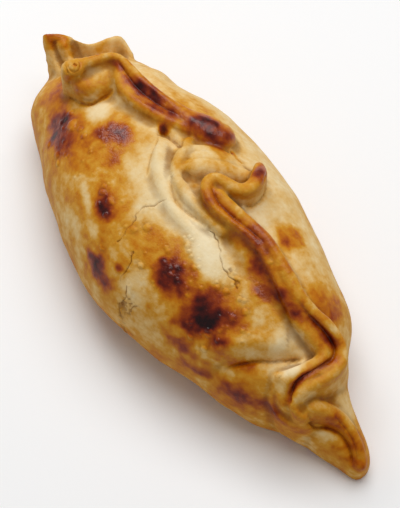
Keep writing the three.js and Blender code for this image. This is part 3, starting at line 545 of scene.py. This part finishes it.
def loft(rings):
    """Vertices and faces of a closed solid through rings, an array of ring, side and xyz."""
    count, sides = rings.shape[:2]
    points = np.concatenate([rings.reshape(-1, 3), rings[0].mean(0)[None], rings[-1].mean(0)[None]])
    faces = []
    for ring in range(count - 1):
        for side in range(sides):
            a = ring * sides + side
            b = ring * sides + (side + 1) % sides
            faces.append((a, b, b + sides, a + sides))
    first = count * sides
    for side in range(sides):
        following = (side + 1) % sides
        faces.append((first, following, side))
        faces.append((first + 1, first - sides + side, first - sides + following))
    return points, faces


def signed_power(value, power):
    return np.sign(value) * np.abs(value) ** power


body_ribs = smooth_rows(BODY_RIBS, BODY_RINGS)


def body_rings():
    angle = np.arange(BODY_SIDES) / BODY_SIDES * 2 * math.pi
    x, middle, half_width, crown, belly = (column[:, None] for column in body_ribs.T)
    rise = np.sin(angle)[None]
    upper = belly + (crown - belly) * signed_power(rise, CROWN_ROUNDNESS)
    lower = belly + (belly + BELLY_DROP) * signed_power(rise, BELLY_ROUNDNESS)
    y = middle + half_width * signed_power(np.cos(angle)[None], SIDE_ROUNDNESS)
    z = np.where(rise >= 0, upper, lower)
    return np.stack([np.broadcast_to(x, y.shape), y, z], -1)


def crown_height(x, y):
    """Height of the body's upper surface over points of the table."""
    middle, half_width, crown, belly = (
        np.interp(x, body_ribs[:, 0], body_ribs[:, column]) for column in range(1, 5)
    )
    across = np.minimum(1, np.abs(y - middle) / half_width) ** (1 / SIDE_ROUNDNESS)
    return belly + (crown - belly) * np.sqrt(1 - across**2) ** CROWN_ROUNDNESS


def fold_face(foot, top, swell):
    """Section points from a fold's foot up to its rounded edge, without the last."""
    run = top[0] - foot[0]
    rise = top[1] - foot[1]
    length = math.hypot(run, rise)
    t = np.arange(FACE_STEPS) / FACE_STEPS
    out = swell * np.sin(math.pi * t) / length
    across = foot[0] + run * t + abs(rise) * out * np.sign(foot[0])
    return np.stack([across, foot[1] + rise * t + abs(run) * out], 1)


def fold_ring(station, along, bulge):
    x, y, z, radius, near, far = station
    across = np.array([along[1], -along[0]]) / np.hypot(*along)

    def foot(reach):
        place = np.array([x, y]) + across * reach
        return np.array([reach, crown_height(*place) - FACE_SINK])

    angle = np.linspace(-EDGE_HANG, math.pi + EDGE_HANG, EDGE_STEPS + 1)
    edge = np.stack([radius * np.cos(angle), z - radius + radius * np.sin(angle)], 1)
    near_foot = foot(near)
    far_foot = foot(-far)
    keel = [[0, min(near_foot[1], far_foot[1], z - radius) - KEEL_DROP]]
    section = np.concatenate([
        fold_face(near_foot, edge[0], bulge),
        edge,
        fold_face(far_foot, edge[-1], 0)[::-1],
        keel,
    ])
    flat = np.array([x, y]) + section[:, :1] * across
    return np.column_stack([flat, section[:, 1]])


def round_end(station, outward):
    """Shrinking copies of a fold's last station, which finish the fold with a rounded end."""
    copies = []
    for angle in END_ANGLES:
        copy = station.copy()
        copy[:2] += outward * station[3] * math.sin(angle)
        copy[2] -= station[3] * (1 - math.cos(angle))
        copy[3:] *= math.cos(angle)
        copies.append(copy)
    return np.array(copies)


def fold_rings(bulge, rows):
    crest = np.array(rows)[:, :3]
    length = np.linalg.norm(np.diff(crest, axis=0), axis=1).sum()
    stations = smooth_rows(rows, max(FEWEST_STATIONS, int(length / FOLD_STEP)))
    along = np.gradient(stations[:, :2], axis=0)
    along /= np.linalg.norm(along, axis=1)[:, None]
    count = len(END_ANGLES)
    stations = np.vstack([
        round_end(stations[0], -along[0])[::-1], stations, round_end(stations[-1], along[-1])
    ])
    along = np.vstack([np.tile(along[0], (count, 1)), along, np.tile(along[-1], (count, 1))])
    return np.array([fold_ring(s, a, bulge) for s, a in zip(stations, along)])


def tab_rings():
    rings = []
    up = np.array([0.0, 0.0, 1.0])
    for row in smooth_rows(TAB_ROWS, TAB_RINGS):
        rim, root = row[:3], row[3:]
        outward = (rim - root) / np.linalg.norm(rim - root)
        angle = np.linspace(-math.pi / 2, math.pi / 2, EDGE_STEPS + 1)[:, None]
        ring = rim + TAB_RIM_RADIUS * (outward * np.cos(angle) + up * np.sin(angle))
        waist = rim + (root - rim) * TAB_WAIST_PLACE + up * TAB_RIM_RADIUS * TAB_WAIST_RISE
        rings.append(np.vstack([ring, waist, root + up * TAB_ROOT_HEIGHT / 2, root - up * TAB_ROOT_HEIGHT]))
    return np.array(rings)


def mesh_object(name, points, faces):
    """An object whose mesh holds points given in millimetres."""
    mesh = bpy.data.meshes.new(name)
    mesh.from_pydata((points * MM).tolist(), [], faces)
    mesh.update()
    piece = bpy.data.objects.new(name, mesh)
    bpy.context.collection.objects.link(piece)
    return piece


def joined(lofts):
    points = np.concatenate([p for p, _ in lofts])
    faces = []
    start = 0
    for part_points, part_faces in lofts:
        faces += [tuple(v + start for v in face) for face in part_faces]
        start += len(part_points)
    return points, faces


def remeshed(piece, voxel):
    """The piece's mesh after a voxel remesh, which joins what overlaps into one skin."""
    modifier = piece.modifiers.new("remesh", "REMESH")
    modifier.mode = "VOXEL"
    modifier.voxel_size = voxel * MM
    modifier.use_smooth_shade = True
    graph = bpy.context.evaluated_depsgraph_get()
    mesh = bpy.data.meshes.new_from_object(piece.evaluated_get(graph))
    piece.modifiers.remove(modifier)
    return mesh


def points_of(mesh):
    flat = np.empty(len(mesh.vertices) * 3)
    mesh.vertices.foreach_get("co", flat)
    return flat.reshape(-1, 3) / MM


def edges_of(mesh):
    flat = np.empty(len(mesh.edges) * 2, int)
    mesh.edges.foreach_get("vertices", flat)
    return flat.reshape(-1, 2)


def set_points(mesh, points):
    mesh.vertices.foreach_set("co", (points * MM).ravel())
    mesh.update()


def neighbour_mean(values, edges, count):
    a, b = edges.T
    total = np.zeros_like(values)
    for axis in range(values.shape[1]):
        total[:, axis] = np.bincount(a, values[b, axis], count) + np.bincount(b, values[a, axis], count)
    degree = np.bincount(a, minlength=count) + np.bincount(b, minlength=count)
    return total / degree[:, None]


def relax(points, edges, rounds, strength):
    """Laplacian smoothing; strength is one number or one for each point."""
    strength = np.broadcast_to(strength, len(points))[:, None]
    for _ in range(rounds):
        points = points + strength * (neighbour_mean(points, edges, len(points)) - points)
    return points


def normals_of(mesh, points):
    set_points(mesh, points)
    flat = np.empty(len(mesh.vertices) * 3)
    mesh.vertex_normals.foreach_get("vector", flat)
    return flat.reshape(-1, 3)


def settle_valleys(mesh, points, edges):
    """Extra smoothing where the skin is hollow, which heals the seams between overlapping folds."""
    hollow = ((neighbour_mean(points, edges, len(points)) - points) * normals_of(mesh, points)).sum(1)
    strength = RELAX_STRENGTH * np.clip(hollow / VALLEY_CURVE, 0, 1)
    return relax(points, edges, VALLEY_ROUNDS, strength)


def crisped(mesh, points, edges):
    """The skin with its folds and creases sharpened."""
    normals = normals_of(mesh, points)
    height = ((points - relax(points, edges, CRISP_ROUNDS, RELAX_STRENGTH)) * normals).sum(1)
    gain = np.clip(CRISP_GAIN * height, -CRISP_LIMIT, CRISP_LIMIT)
    started = np.clip((points[:, 0] - CRISP_START) / CRISP_FADE, 0, 1)
    gain *= upward(normals, CRISP_UPWARD_GAIN) * started
    return points + normals * gain[:, None]


def bell(distance, width):
    """1 at no distance, falling off smoothly over the width."""
    return np.exp(-((distance / width) ** 2))


def end_fade(along):
    """0 at the two ends of a line and 1 between them."""
    return np.clip(np.minimum(along, 1 - along) / STROKE_FADE, 0, 1)


def upward(normals, gain):
    """0 where the skin faces sideways or down and 1 where it faces up."""
    return np.clip(normals[:, 2] * gain, 0, 1)


def line_distance(flat, path):
    """Distance in plan from each point to a line, and how far along the line it is nearest, 0 to 1."""
    nearest = np.full(len(flat), FAR)
    along = np.zeros(len(flat))
    for i, (start, end) in enumerate(zip(path[:-1], path[1:])):
        span = end - start
        t = np.clip((flat - start) @ span / (span @ span), 0, 1)
        distance = np.linalg.norm(flat - start - t[:, None] * span, axis=1)
        closer = distance < nearest
        nearest[closer] = distance[closer]
        along[closer] = (i + t[closer]) / (len(path) - 1)
    return nearest, along


def line_side(flat, path, along):
    """1 for the points on the left of a line and -1 for those on its right."""
    spot = np.minimum((along * (len(path) - 1)).astype(int), len(path) - 2)
    span = path[spot + 1] - path[spot]
    offset = flat - path[spot]
    return np.sign(span[:, 0] * offset[:, 1] - span[:, 1] * offset[:, 0])


def stroked(points, normals):
    """Points moved along their normals by every stroke and swell, on what faces up."""
    facing = upward(normals, UPWARD_GAIN)
    flat = points[:, :2]
    amount = np.zeros(len(points))
    for height, width, path in STROKES:
        distance, along = line_distance(flat, smooth_rows(path, LINE_STEPS * len(path)))
        amount += height * end_fade(along) * bell(distance, width)
    for x, y, radius, height in SWELLS:
        near = np.hypot(flat[:, 0] - x, flat[:, 1] - y) / radius
        amount += height * np.clip(1 - near**2, 0, 1) ** 2
    return points + normals * (amount * facing)[:, None]


def noise_at(points, size):
    """Smooth noise between about -1 and 1 at points in millimetres."""
    return np.array([noise.noise(Vector(point)) for point in points / size])


def tops(points, places):
    """For each x, y, the highest of the points close to it."""
    found = []
    for x, y, *_ in places:
        close = points[np.hypot(points[:, 0] - x, points[:, 1] - y) < 2 * VOXEL]
        found.append(close[close[:, 2].argmax()])
    return np.array(found)


def scattered_blisters():
    """Small blisters strewn over the blister fields: x, y, radius and height."""
    found = []
    for x, y, reach, count in BLISTER_FIELDS:
        for _ in range(count):
            turn = random.uniform(0, 2 * math.pi)
            out = reach * math.sqrt(random.random())
            radius = random.uniform(*SMALL_BLISTER)
            found.append((
                x + out * math.cos(turn), y + out * math.sin(turn), radius, radius * SMALL_BLISTER_RISE
            ))
    return found


def crack_distances(points):
    """Distance to the nearest crack or tear, and the side of the crack, from -1 to 1."""
    wander = CRACK_WANDER * np.stack([
        noise_at(points, CRACK_WANDER_SIZE), noise_at(points + CRACK_NOISE_SHIFT, CRACK_WANDER_SIZE)
    ], 1)
    flat = points[:, :2] + wander
    best = np.full(len(points), FAR)
    side = np.zeros(len(points))
    for path in CRACKS:
        path = np.array(path)
        distance, along = line_distance(flat, path)
        closer = distance < best
        best[closer] = distance[closer]
        side[closer] = line_side(flat, path, along)[closer]
    share, change = TEAR_SHARE
    ragged = share + change * noise_at(points, TEAR_GRAIN)
    for x, y, radius in TEARS:
        outside = np.hypot(flat[:, 0] - x, flat[:, 1] - y) - radius * ragged
        best = np.minimum(best, np.maximum(outside, 0))
    return best, side


def crease_lines(points):
    """For each crease, the distance to it from each point and a factor that fades out at its ends."""
    lines = []
    for _, _, _, path in CREASES:
        distance, along = line_distance(points[:, :2], smooth_rows(path, LINE_STEPS * len(path)))
        lines.append((distance, end_fade(along)))
    return lines


def crease_depths(points):
    """How deep the creases are at each point, and the distance to the nearest of them."""
    depth = np.zeros(len(points))
    nearest = np.full(len(points), FAR)
    for (deep, width, _, _), (distance, fade) in zip(CREASES, crease_lines(points)):
        depth = np.maximum(depth, deep * fade * bell(distance, width))
        nearest = np.minimum(nearest, distance)
    return depth, nearest


def subdivided(work, fine):
    """Splits the edges whose two ends are both marked in fine."""
    work.verts.ensure_lookup_table()
    work.verts.index_update()
    edges = [edge for edge in work.edges if fine[edge.verts[0].index] and fine[edge.verts[1].index]]
    bmesh.ops.subdivide_edges(work, edges=edges, cuts=1, use_grid_fill=True)


def refined(mesh, blisters, centres):
    """Finer faces where there are blisters, creases and cracks, and one flat face underneath."""
    for level, reach in enumerate(FINE_REACH):
        work = bmesh.new()
        work.from_mesh(mesh)
        if level == 0:
            under = [face for face in work.faces if all(vert.co.z <= 0 for vert in face.verts)]
            bmesh.ops.dissolve_faces(work, faces=under, use_verts=True)
            work.to_mesh(mesh)
        points = points_of(mesh)
        fine = (crack_distances(points)[0] < reach) | (crease_depths(points)[1] < reach)
        fine &= normals_of(mesh, points)[:, 2] > FINE_NORMAL
        if level == 0:
            for (_, _, radius, _), centre in zip(blisters, centres):
                fine |= np.linalg.norm(points - centre, axis=1) < radius + DETAIL_MARGIN
        subdivided(work, fine)
        work.to_mesh(mesh)
        work.free()


def spot_fields(points, spots):
    """For each spot, how far each point is inside it: 1 at the middle and 0 well outside."""
    wander = sum(strength * noise_at(points + SPOT_NOISE_SHIFT, size) for size, strength in SPOT_WANDER)
    fields = []
    for (_, _, reach_x, reach_y, turn, _), centre in zip(spots, tops(points, spots)):
        offset = points - centre
        angle = math.radians(turn)
        along = offset[:, 0] * math.cos(angle) + offset[:, 1] * math.sin(angle)
        across = offset[:, 1] * math.cos(angle) - offset[:, 0] * math.sin(angle)
        out = np.sqrt((along / reach_x) ** 2 + (across**2 + offset[:, 2] ** 2) / reach_y**2)
        fields.append(1 / (1 + (out * (1 + wander)) ** SPOT_SHARPNESS))
    return fields


def bake_and_shade_of(points, blister_rise):
    """The browning at each point, with some painted shade in it."""
    mottle = sum(strength * noise_at(points + MOTTLE_NOISE_SHIFT, size) for size, strength in MOTTLE)
    bottom, top = LOW_BAKE_AND_SHADE_HEIGHTS
    bake_and_shade = BASE_BAKE + LOW_BAKE_AND_SHADE * np.clip((top - points[:, 2]) / (top - bottom), 0, 1)
    for name, (_, rows) in FOLDS.items():
        stations = smooth_rows(rows, FOLD_BAKE_STEPS * len(rows))
        radius = stations[:, 3].mean()
        axis = stations[:, :3] - [0, 0, radius]
        distance, _ = line_distance(points, axis)
        inside = 1 / (1 + (distance / radius / FOLD_BAKE_REACH) ** FOLD_BAKE_SHARPNESS)
        bake_and_shade = bake_and_shade + (FOLD_BAKES[name] - bake_and_shade) * inside
    for spot, field in zip(SPOTS, spot_fields(points, SPOTS)):
        bake_and_shade = bake_and_shade + np.maximum(spot[5] - bake_and_shade, 0) * field
    for spot, field in zip(PALE_SPOTS, spot_fields(points, PALE_SPOTS)):
        bake_and_shade = bake_and_shade * (1 - spot[5] * field * PALE_STRENGTH)
    # Darker along each crease: partly browning, partly painted shade.
    for (_, width, brown_and_shade, _), (distance, fade) in zip(CREASES, crease_lines(points)):
        field = fade * bell(distance / width, CREASE_BAKE_REACH)
        bake_and_shade = bake_and_shade + np.maximum(brown_and_shade - bake_and_shade, 0) * field
    mottle *= np.interp(bake_and_shade, *MOTTLE_GAIN)
    return np.clip(bake_and_shade + mottle - BLISTER_PALENESS * blister_rise, 0, 1)


def build_crust():
    lofts = [loft(body_rings()), loft(tab_rings())]
    lofts += [loft(fold_rings(bulge, rows)) for bulge, rows in FOLDS.values()]
    rough = mesh_object("rough", *joined(lofts))
    mesh = remeshed(rough, VOXEL)
    bpy.data.objects.remove(rough)
    mesh.name = "crust"
    points = points_of(mesh)
    edges = edges_of(mesh)
    points = relax(points, edges, JOIN_ROUNDS, RELAX_STRENGTH)
    points = settle_valleys(mesh, points, edges)
    points = crisped(mesh, points, edges)
    normals = normals_of(mesh, points)
    points = stroked(points, normals)
    points[:, 2] = np.maximum(points[:, 2], 0)
    set_points(mesh, points)

    blisters = BLISTERS + scattered_blisters()
    centres = tops(points, blisters)
    refined(mesh, blisters, centres)
    points = points_of(mesh)
    normals = normals_of(mesh, points)
    rise = sum(height * noise_at(points, size) for size, height in LUMPS)
    uneven = 1 + BLISTER_UNEVENNESS * noise_at(points, BLISTER_UNEVENNESS_SIZE)
    dome = np.zeros(len(points))
    swell = np.zeros(len(points))
    for (_, _, radius, height), centre in zip(blisters, centres):
        out = np.linalg.norm(points - centre, axis=1) / radius * uneven
        inside = np.clip(1 - out**2, 0, 1)
        swell = np.maximum(swell, height * inside**BLISTER_ROUNDNESS)
        dome = np.maximum(dome, inside)
    crack, side = crack_distances(points)
    rise += swell
    openness = np.clip(CRACK_OPENNESS + noise_at(points, CRACK_OPENNESS_SIZE), 0, 1)
    open_crack = bell(crack, CRACK_WIDTH) * openness
    rise -= CRACK_DEPTH * open_crack
    rise += CRACK_LIFT * np.clip(side, 0, 1) * np.clip(1 - crack / CRACK_LIP, 0, 1)
    rise -= crease_depths(points)[0] * upward(normals, UPWARD_GAIN)
    base = np.clip(points[:, 2] / FLAT_HEIGHT, 0, 1)
    moved = points + normals * (rise * base)[:, None]
    moved[:, 2] = np.maximum(moved[:, 2], 0)
    set_points(mesh, moved)
    # Browning, with painted shade low on the sides, along some creases and at a few spots.
    bake_and_shade = mesh.attributes.new("bake_and_shade", "FLOAT", "POINT")
    bake_and_shade.data.foreach_set("value", bake_and_shade_of(points, dome))
    # Painted shade: how far each point lies in a hollow or an open crack, which the material darkens.
    painted_shade = mesh.attributes.new("painted_shade", "FLOAT", "POINT")
    edges = edges_of(mesh)
    normals = normals_of(mesh, moved)
    hollow = ((relax(moved, edges, CAVITY_ROUNDS, RELAX_STRENGTH) - moved) * normals).sum(1)
    cavity = np.clip(hollow / CAVITY_DEPTH, 0, 1) * np.clip(moved[:, 2] - CAVITY_START, 0, 1)
    painted_shade.data.foreach_set("value", np.maximum(cavity, open_crack))
    piece = bpy.data.objects.new("crust", mesh)
    bpy.context.collection.objects.link(piece)
    return piece


random.seed(SEED)
crust = build_crust()
raw_low = points_of(crust.data).min(0)
raw_high = points_of(crust.data).max(0)
cad_low, cad_high = (np.array(corner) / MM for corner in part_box("pastry"))
shift = (cad_low + cad_high - raw_low - raw_high) / 2
shift[2] = 0
set_points(crust.data, points_of(crust.data) + shift)

# ---- The crust's material --------------------------------------------------------------------------

# Bake and the crust's colour there, in sRGB.
BAKE_COLOURS = [
    (0.00, (246, 228, 188)),
    (0.15, (237, 211, 160)),
    (0.28, (226, 184, 112)),
    (0.38, (210, 148, 42)),
    (0.48, (196, 118, 6)),
    (0.58, (172, 84, 2)),
    (0.68, (142, 52, 1)),
    (0.78, (104, 24, 1)),
    (0.88, (66, 9, 3)),
    (1.00, (28, 3, 4)),
]
# Painted shade in hollows and open cracks: how strong it is, and the tint it multiplies the colour by.
PAINTED_SHADE_STRENGTH = 0.75
PAINTED_SHADE_TINT = (0.34, 0.21, 0.10, 1)
GRAIN_SIZE = 0.9  # mm
GRAIN_STRENGTH = 0.08
PALE_ROUGHNESS = 0.65
BURNT_ROUGHNESS = 0.32
GLAZE_COAT = 0.5
GLAZE_HEIGHTS = (14, 30)  # none of the glaze below the first height, all of it above the second, mm
COAT_ROUGHNESS = 0.2
SPECULAR_LEVEL = 0.12
ROUGH_BAKES = (0.32, 0.70)  # the bakes between which the crust turns from dull to glossy
BUMP_HEIGHT = 0.05  # mm
BUMP_GRAIN_SIZE = 0.45  # mm
BUMP_GRAIN_DETAIL = 2.0
WRINKLE_SIZE = 1.2  # mm
WRINKLE_HEIGHT = 1.8  # over the bump's height, where the crust is burnt


def linear(colour):
    """An sRGB colour of 0-255 as linear light."""
    part = [c / 255 for c in colour]
    return tuple(c / 12.92 if c <= 0.04045 else ((c + 0.055) / 1.055) ** 2.4 for c in part) + (1,)


material = bpy.data.materials.new("crust")
material.use_nodes = True
tree = material.node_tree
shader = tree.nodes["Principled BSDF"]


def node(kind, **values):
    made = tree.nodes.new(kind)
    for name, value in values.items():
        setattr(made, name, value)
    return made


def attribute(name):
    return node("ShaderNodeAttribute", attribute_name=name).outputs["Fac"]


def put(value, socket):
    """A link from a socket, or a plain value, into an input."""
    if isinstance(value, bpy.types.NodeSocket):
        tree.links.new(value, socket)
    else:
        socket.default_value = value


def maths(operation, first, second=0.0, third=0.0):
    made = node("ShaderNodeMath", operation=operation)
    for value, socket in zip((first, second, third), made.inputs):
        put(value, socket)
    return made.outputs[0]


def grain(size, detail=3.0):
    made = node("ShaderNodeTexNoise")
    put(skin_place, made.inputs["Vector"])
    made.inputs["Scale"].default_value = 1 / (size * MM)
    made.inputs["Detail"].default_value = detail
    return made.outputs["Fac"]


def ranged(value, low, high, most=1.0):
    """0 where the value is low, the most where it is high, and held outside those."""
    made = node("ShaderNodeMapRange")
    put(value, made.inputs["Value"])
    made.inputs["From Min"].default_value = low
    made.inputs["From Max"].default_value = high
    made.inputs["To Max"].default_value = most
    return made.outputs["Result"]


def between(low, high, share):
    return maths("MULTIPLY_ADD", share, high - low, low)


skin_place = node("ShaderNodeTexCoord").outputs["Object"]
bake_and_shade = attribute("bake_and_shade")
painted_shade = attribute("painted_shade")
fine_grain = grain(GRAIN_SIZE)
mottled = maths("ADD", bake_and_shade, maths("MULTIPLY_ADD", fine_grain, GRAIN_STRENGTH * 2, -GRAIN_STRENGTH))
ramp = node("ShaderNodeValToRGB")
put(mottled, ramp.inputs["Fac"])
stops = ramp.color_ramp.elements
while len(stops) < len(BAKE_COLOURS):
    stops.new(0.5)
for stop, (position, colour) in zip(stops, BAKE_COLOURS):
    stop.position = position
    stop.color = linear(colour)
# The colour darkened by the painted shade of hollows and open cracks.
darken = node("ShaderNodeMix", data_type="RGBA", blend_type="MULTIPLY")
put(maths("MULTIPLY", painted_shade, PAINTED_SHADE_STRENGTH), darken.inputs["Factor"])
put(ramp.outputs["Color"], darken.inputs["A"])
darken.inputs["B"].default_value = PAINTED_SHADE_TINT
put(darken.outputs["Result"], shader.inputs["Base Color"])
glossy = ranged(mottled, *ROUGH_BAKES)
put(between(PALE_ROUGHNESS, BURNT_ROUGHNESS, glossy), shader.inputs["Roughness"])
bump = node("ShaderNodeBump")
bump.inputs["Distance"].default_value = BUMP_HEIGHT * MM
wrinkles = maths("MULTIPLY", glossy, maths("MULTIPLY", grain(WRINKLE_SIZE), WRINKLE_HEIGHT))
grains = maths("ADD", fine_grain, grain(BUMP_GRAIN_SIZE, BUMP_GRAIN_DETAIL))
put(maths("ADD", grains, wrinkles), bump.inputs["Height"])
put(bump.outputs["Normal"], shader.inputs["Normal"])
skin_axes = node("ShaderNodeSeparateXYZ")
put(skin_place, skin_axes.inputs["Vector"])
glaze = ranged(skin_axes.outputs["Z"], *(z * MM for z in GLAZE_HEIGHTS), GLAZE_COAT)
put(maths("MULTIPLY", glossy, glaze), shader.inputs["Coat Weight"])
shader.inputs["Specular IOR Level"].default_value = SPECULAR_LEVEL
put(bump.outputs["Normal"], shader.inputs["Coat Normal"])
shader.inputs["Coat Roughness"].default_value = COAT_ROUGHNESS
crust.data.materials.clear()
crust.data.materials.append(material)

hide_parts("pastry")
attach(crust, "root")

# ---- Floor, lights and camera ----------------------------------------------------------------------

VIEW_AZIMUTH = 57.8  # degrees
VIEW_ELEVATION = 60  # degrees
VIEW_DISTANCE = 600
VIEW_TARGET_HEIGHT = 15
LENS = 168
# Area lights: name, size and distance in metres, energy, turn from the camera and elevation in degrees.
LIGHTS = [
    ("key", 0.7, 0.8, 4.55, 165, 72),
    ("side", 0.2, 0.7, 0.8, -150, 44),
]
WORLD_STRENGTH = 0.3
FLOOR_SIZE = 4  # metres
FLOOR_COLOUR = (0.95, 0.95, 0.95, 1)


def direction(azimuth, elevation):
    """The unit vector towards a viewer at that azimuth and elevation, both in degrees."""
    azimuth = math.radians(azimuth)
    elevation = math.radians(elevation)
    flat = math.cos(elevation)
    return Vector((math.sin(azimuth) * flat, -math.cos(azimuth) * flat, math.sin(elevation)))


target = Vector((*shift[:2], VIEW_TARGET_HEIGHT)) * MM


def aimed(name, data, place):
    thing = bpy.data.objects.new(name, data)
    thing.location = place
    thing.rotation_euler = (target - place).to_track_quat("-Z", "Y").to_euler()
    bpy.context.collection.objects.link(thing)
    return thing


camera_data = bpy.data.cameras.new("camera")
camera_data.lens = LENS
camera = aimed(
    "camera", camera_data, target + direction(VIEW_AZIMUTH, VIEW_ELEVATION) * VIEW_DISTANCE * MM
)
bpy.context.scene.camera = camera

for name, size, distance, energy, turn, elevation in LIGHTS:
    light = bpy.data.lights.new(name, "AREA")
    light.size = size
    light.energy = energy
    aimed(name, light, target + direction(VIEW_AZIMUTH + turn, elevation) * distance)

world = bpy.data.worlds.new("studio")
world.use_nodes = True
background = world.node_tree.nodes["Background"]
background.inputs["Color"].default_value = (1, 1, 1, 1)
background.inputs["Strength"].default_value = WORLD_STRENGTH
bpy.context.scene.world = world

bpy.ops.mesh.primitive_plane_add(size=FLOOR_SIZE)
floor = bpy.context.object
floor.name = "floor"
floor_material = bpy.data.materials.new("floor")
floor_material.use_nodes = True
floor_shader = floor_material.node_tree.nodes["Principled BSDF"]
floor_shader.inputs["Base Color"].default_value = FLOOR_COLOUR
floor.data.materials.append(floor_material)

bpy.context.scene.view_settings.view_transform = "Standard"
